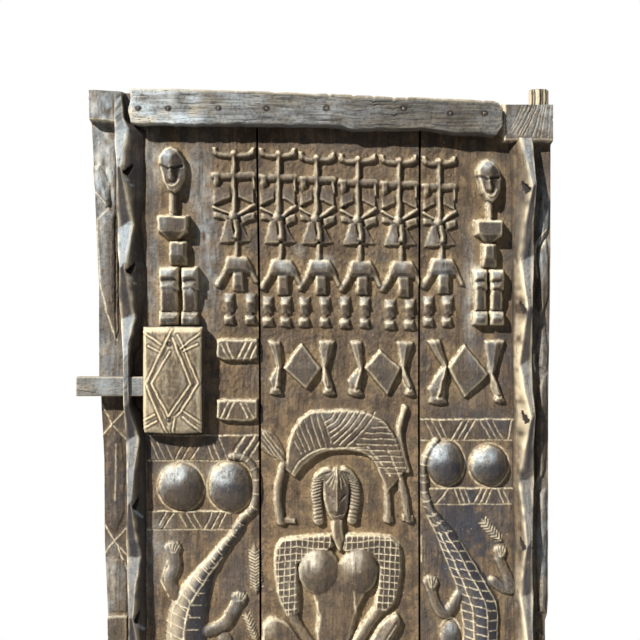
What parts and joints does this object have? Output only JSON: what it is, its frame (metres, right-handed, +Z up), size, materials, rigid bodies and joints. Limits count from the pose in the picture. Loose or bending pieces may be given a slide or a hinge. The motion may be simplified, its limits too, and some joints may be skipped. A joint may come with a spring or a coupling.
{
  "type": "carved granary door",
  "caption": "Carved plank door leaf on stub pivots, tied by nailed battens, with a sliding wooden bolt and a drop-pin lock.",
  "frame": {"origin": "on the pivot axis, at the shoulder of the bottom pivot (the leaf's bottom edge)", "axes": "+Z up along the pivot axis, +X along the leaf towards the pivot side, the carved front faces -Y"},
  "size_m": [0.941, 0.091, 1.726],
  "materials": {
    "plank_wood": "weathered, hand rubbed",
    "batten_wood": "weathered grey",
    "lock_wood": "polished by hands",
    "bolt_wood": "worn",
    "forged_iron": "rusted black iron"
  },
  "bodies": {
    "leaf": {"left_plank": "plank_wood", "middle_plank": "plank_wood", "right_plank": "plank_wood", "top_batten": "batten_wood", "bottom_batten": "batten_wood", "top_batten_nails": "forged_iron", "bottom_batten_nails": "forged_iron", "lock_body": "lock_wood", "lock_nails": "forged_iron"},
    "bolt": {"lock_bolt": "bolt_wood"},
    "pin_outer": {"tumbler_outer": "forged_iron"},
    "pin_middle": {"tumbler_middle": "forged_iron"},
    "pin_inner": {"tumbler_inner": "forged_iron"}
  },
  "joints": [
    {"name": "bolt_slide", "type": "slide", "parent": "leaf", "child": "bolt", "axis": [1, 0, 0], "range_m": [-0.01, 0.06]},
    {"name": "pin_outer_lift", "type": "slide", "parent": "leaf", "child": "pin_outer", "axis": [0, 0, 1], "range_m": [0, 0.012]},
    {"name": "pin_middle_lift", "type": "slide", "parent": "leaf", "child": "pin_middle", "axis": [0, 0, 1], "range_m": [0, 0.012]},
    {"name": "pin_inner_lift", "type": "slide", "parent": "leaf", "child": "pin_inner", "axis": [0, 0, 1], "range_m": [0, 0.012]}
  ]
}
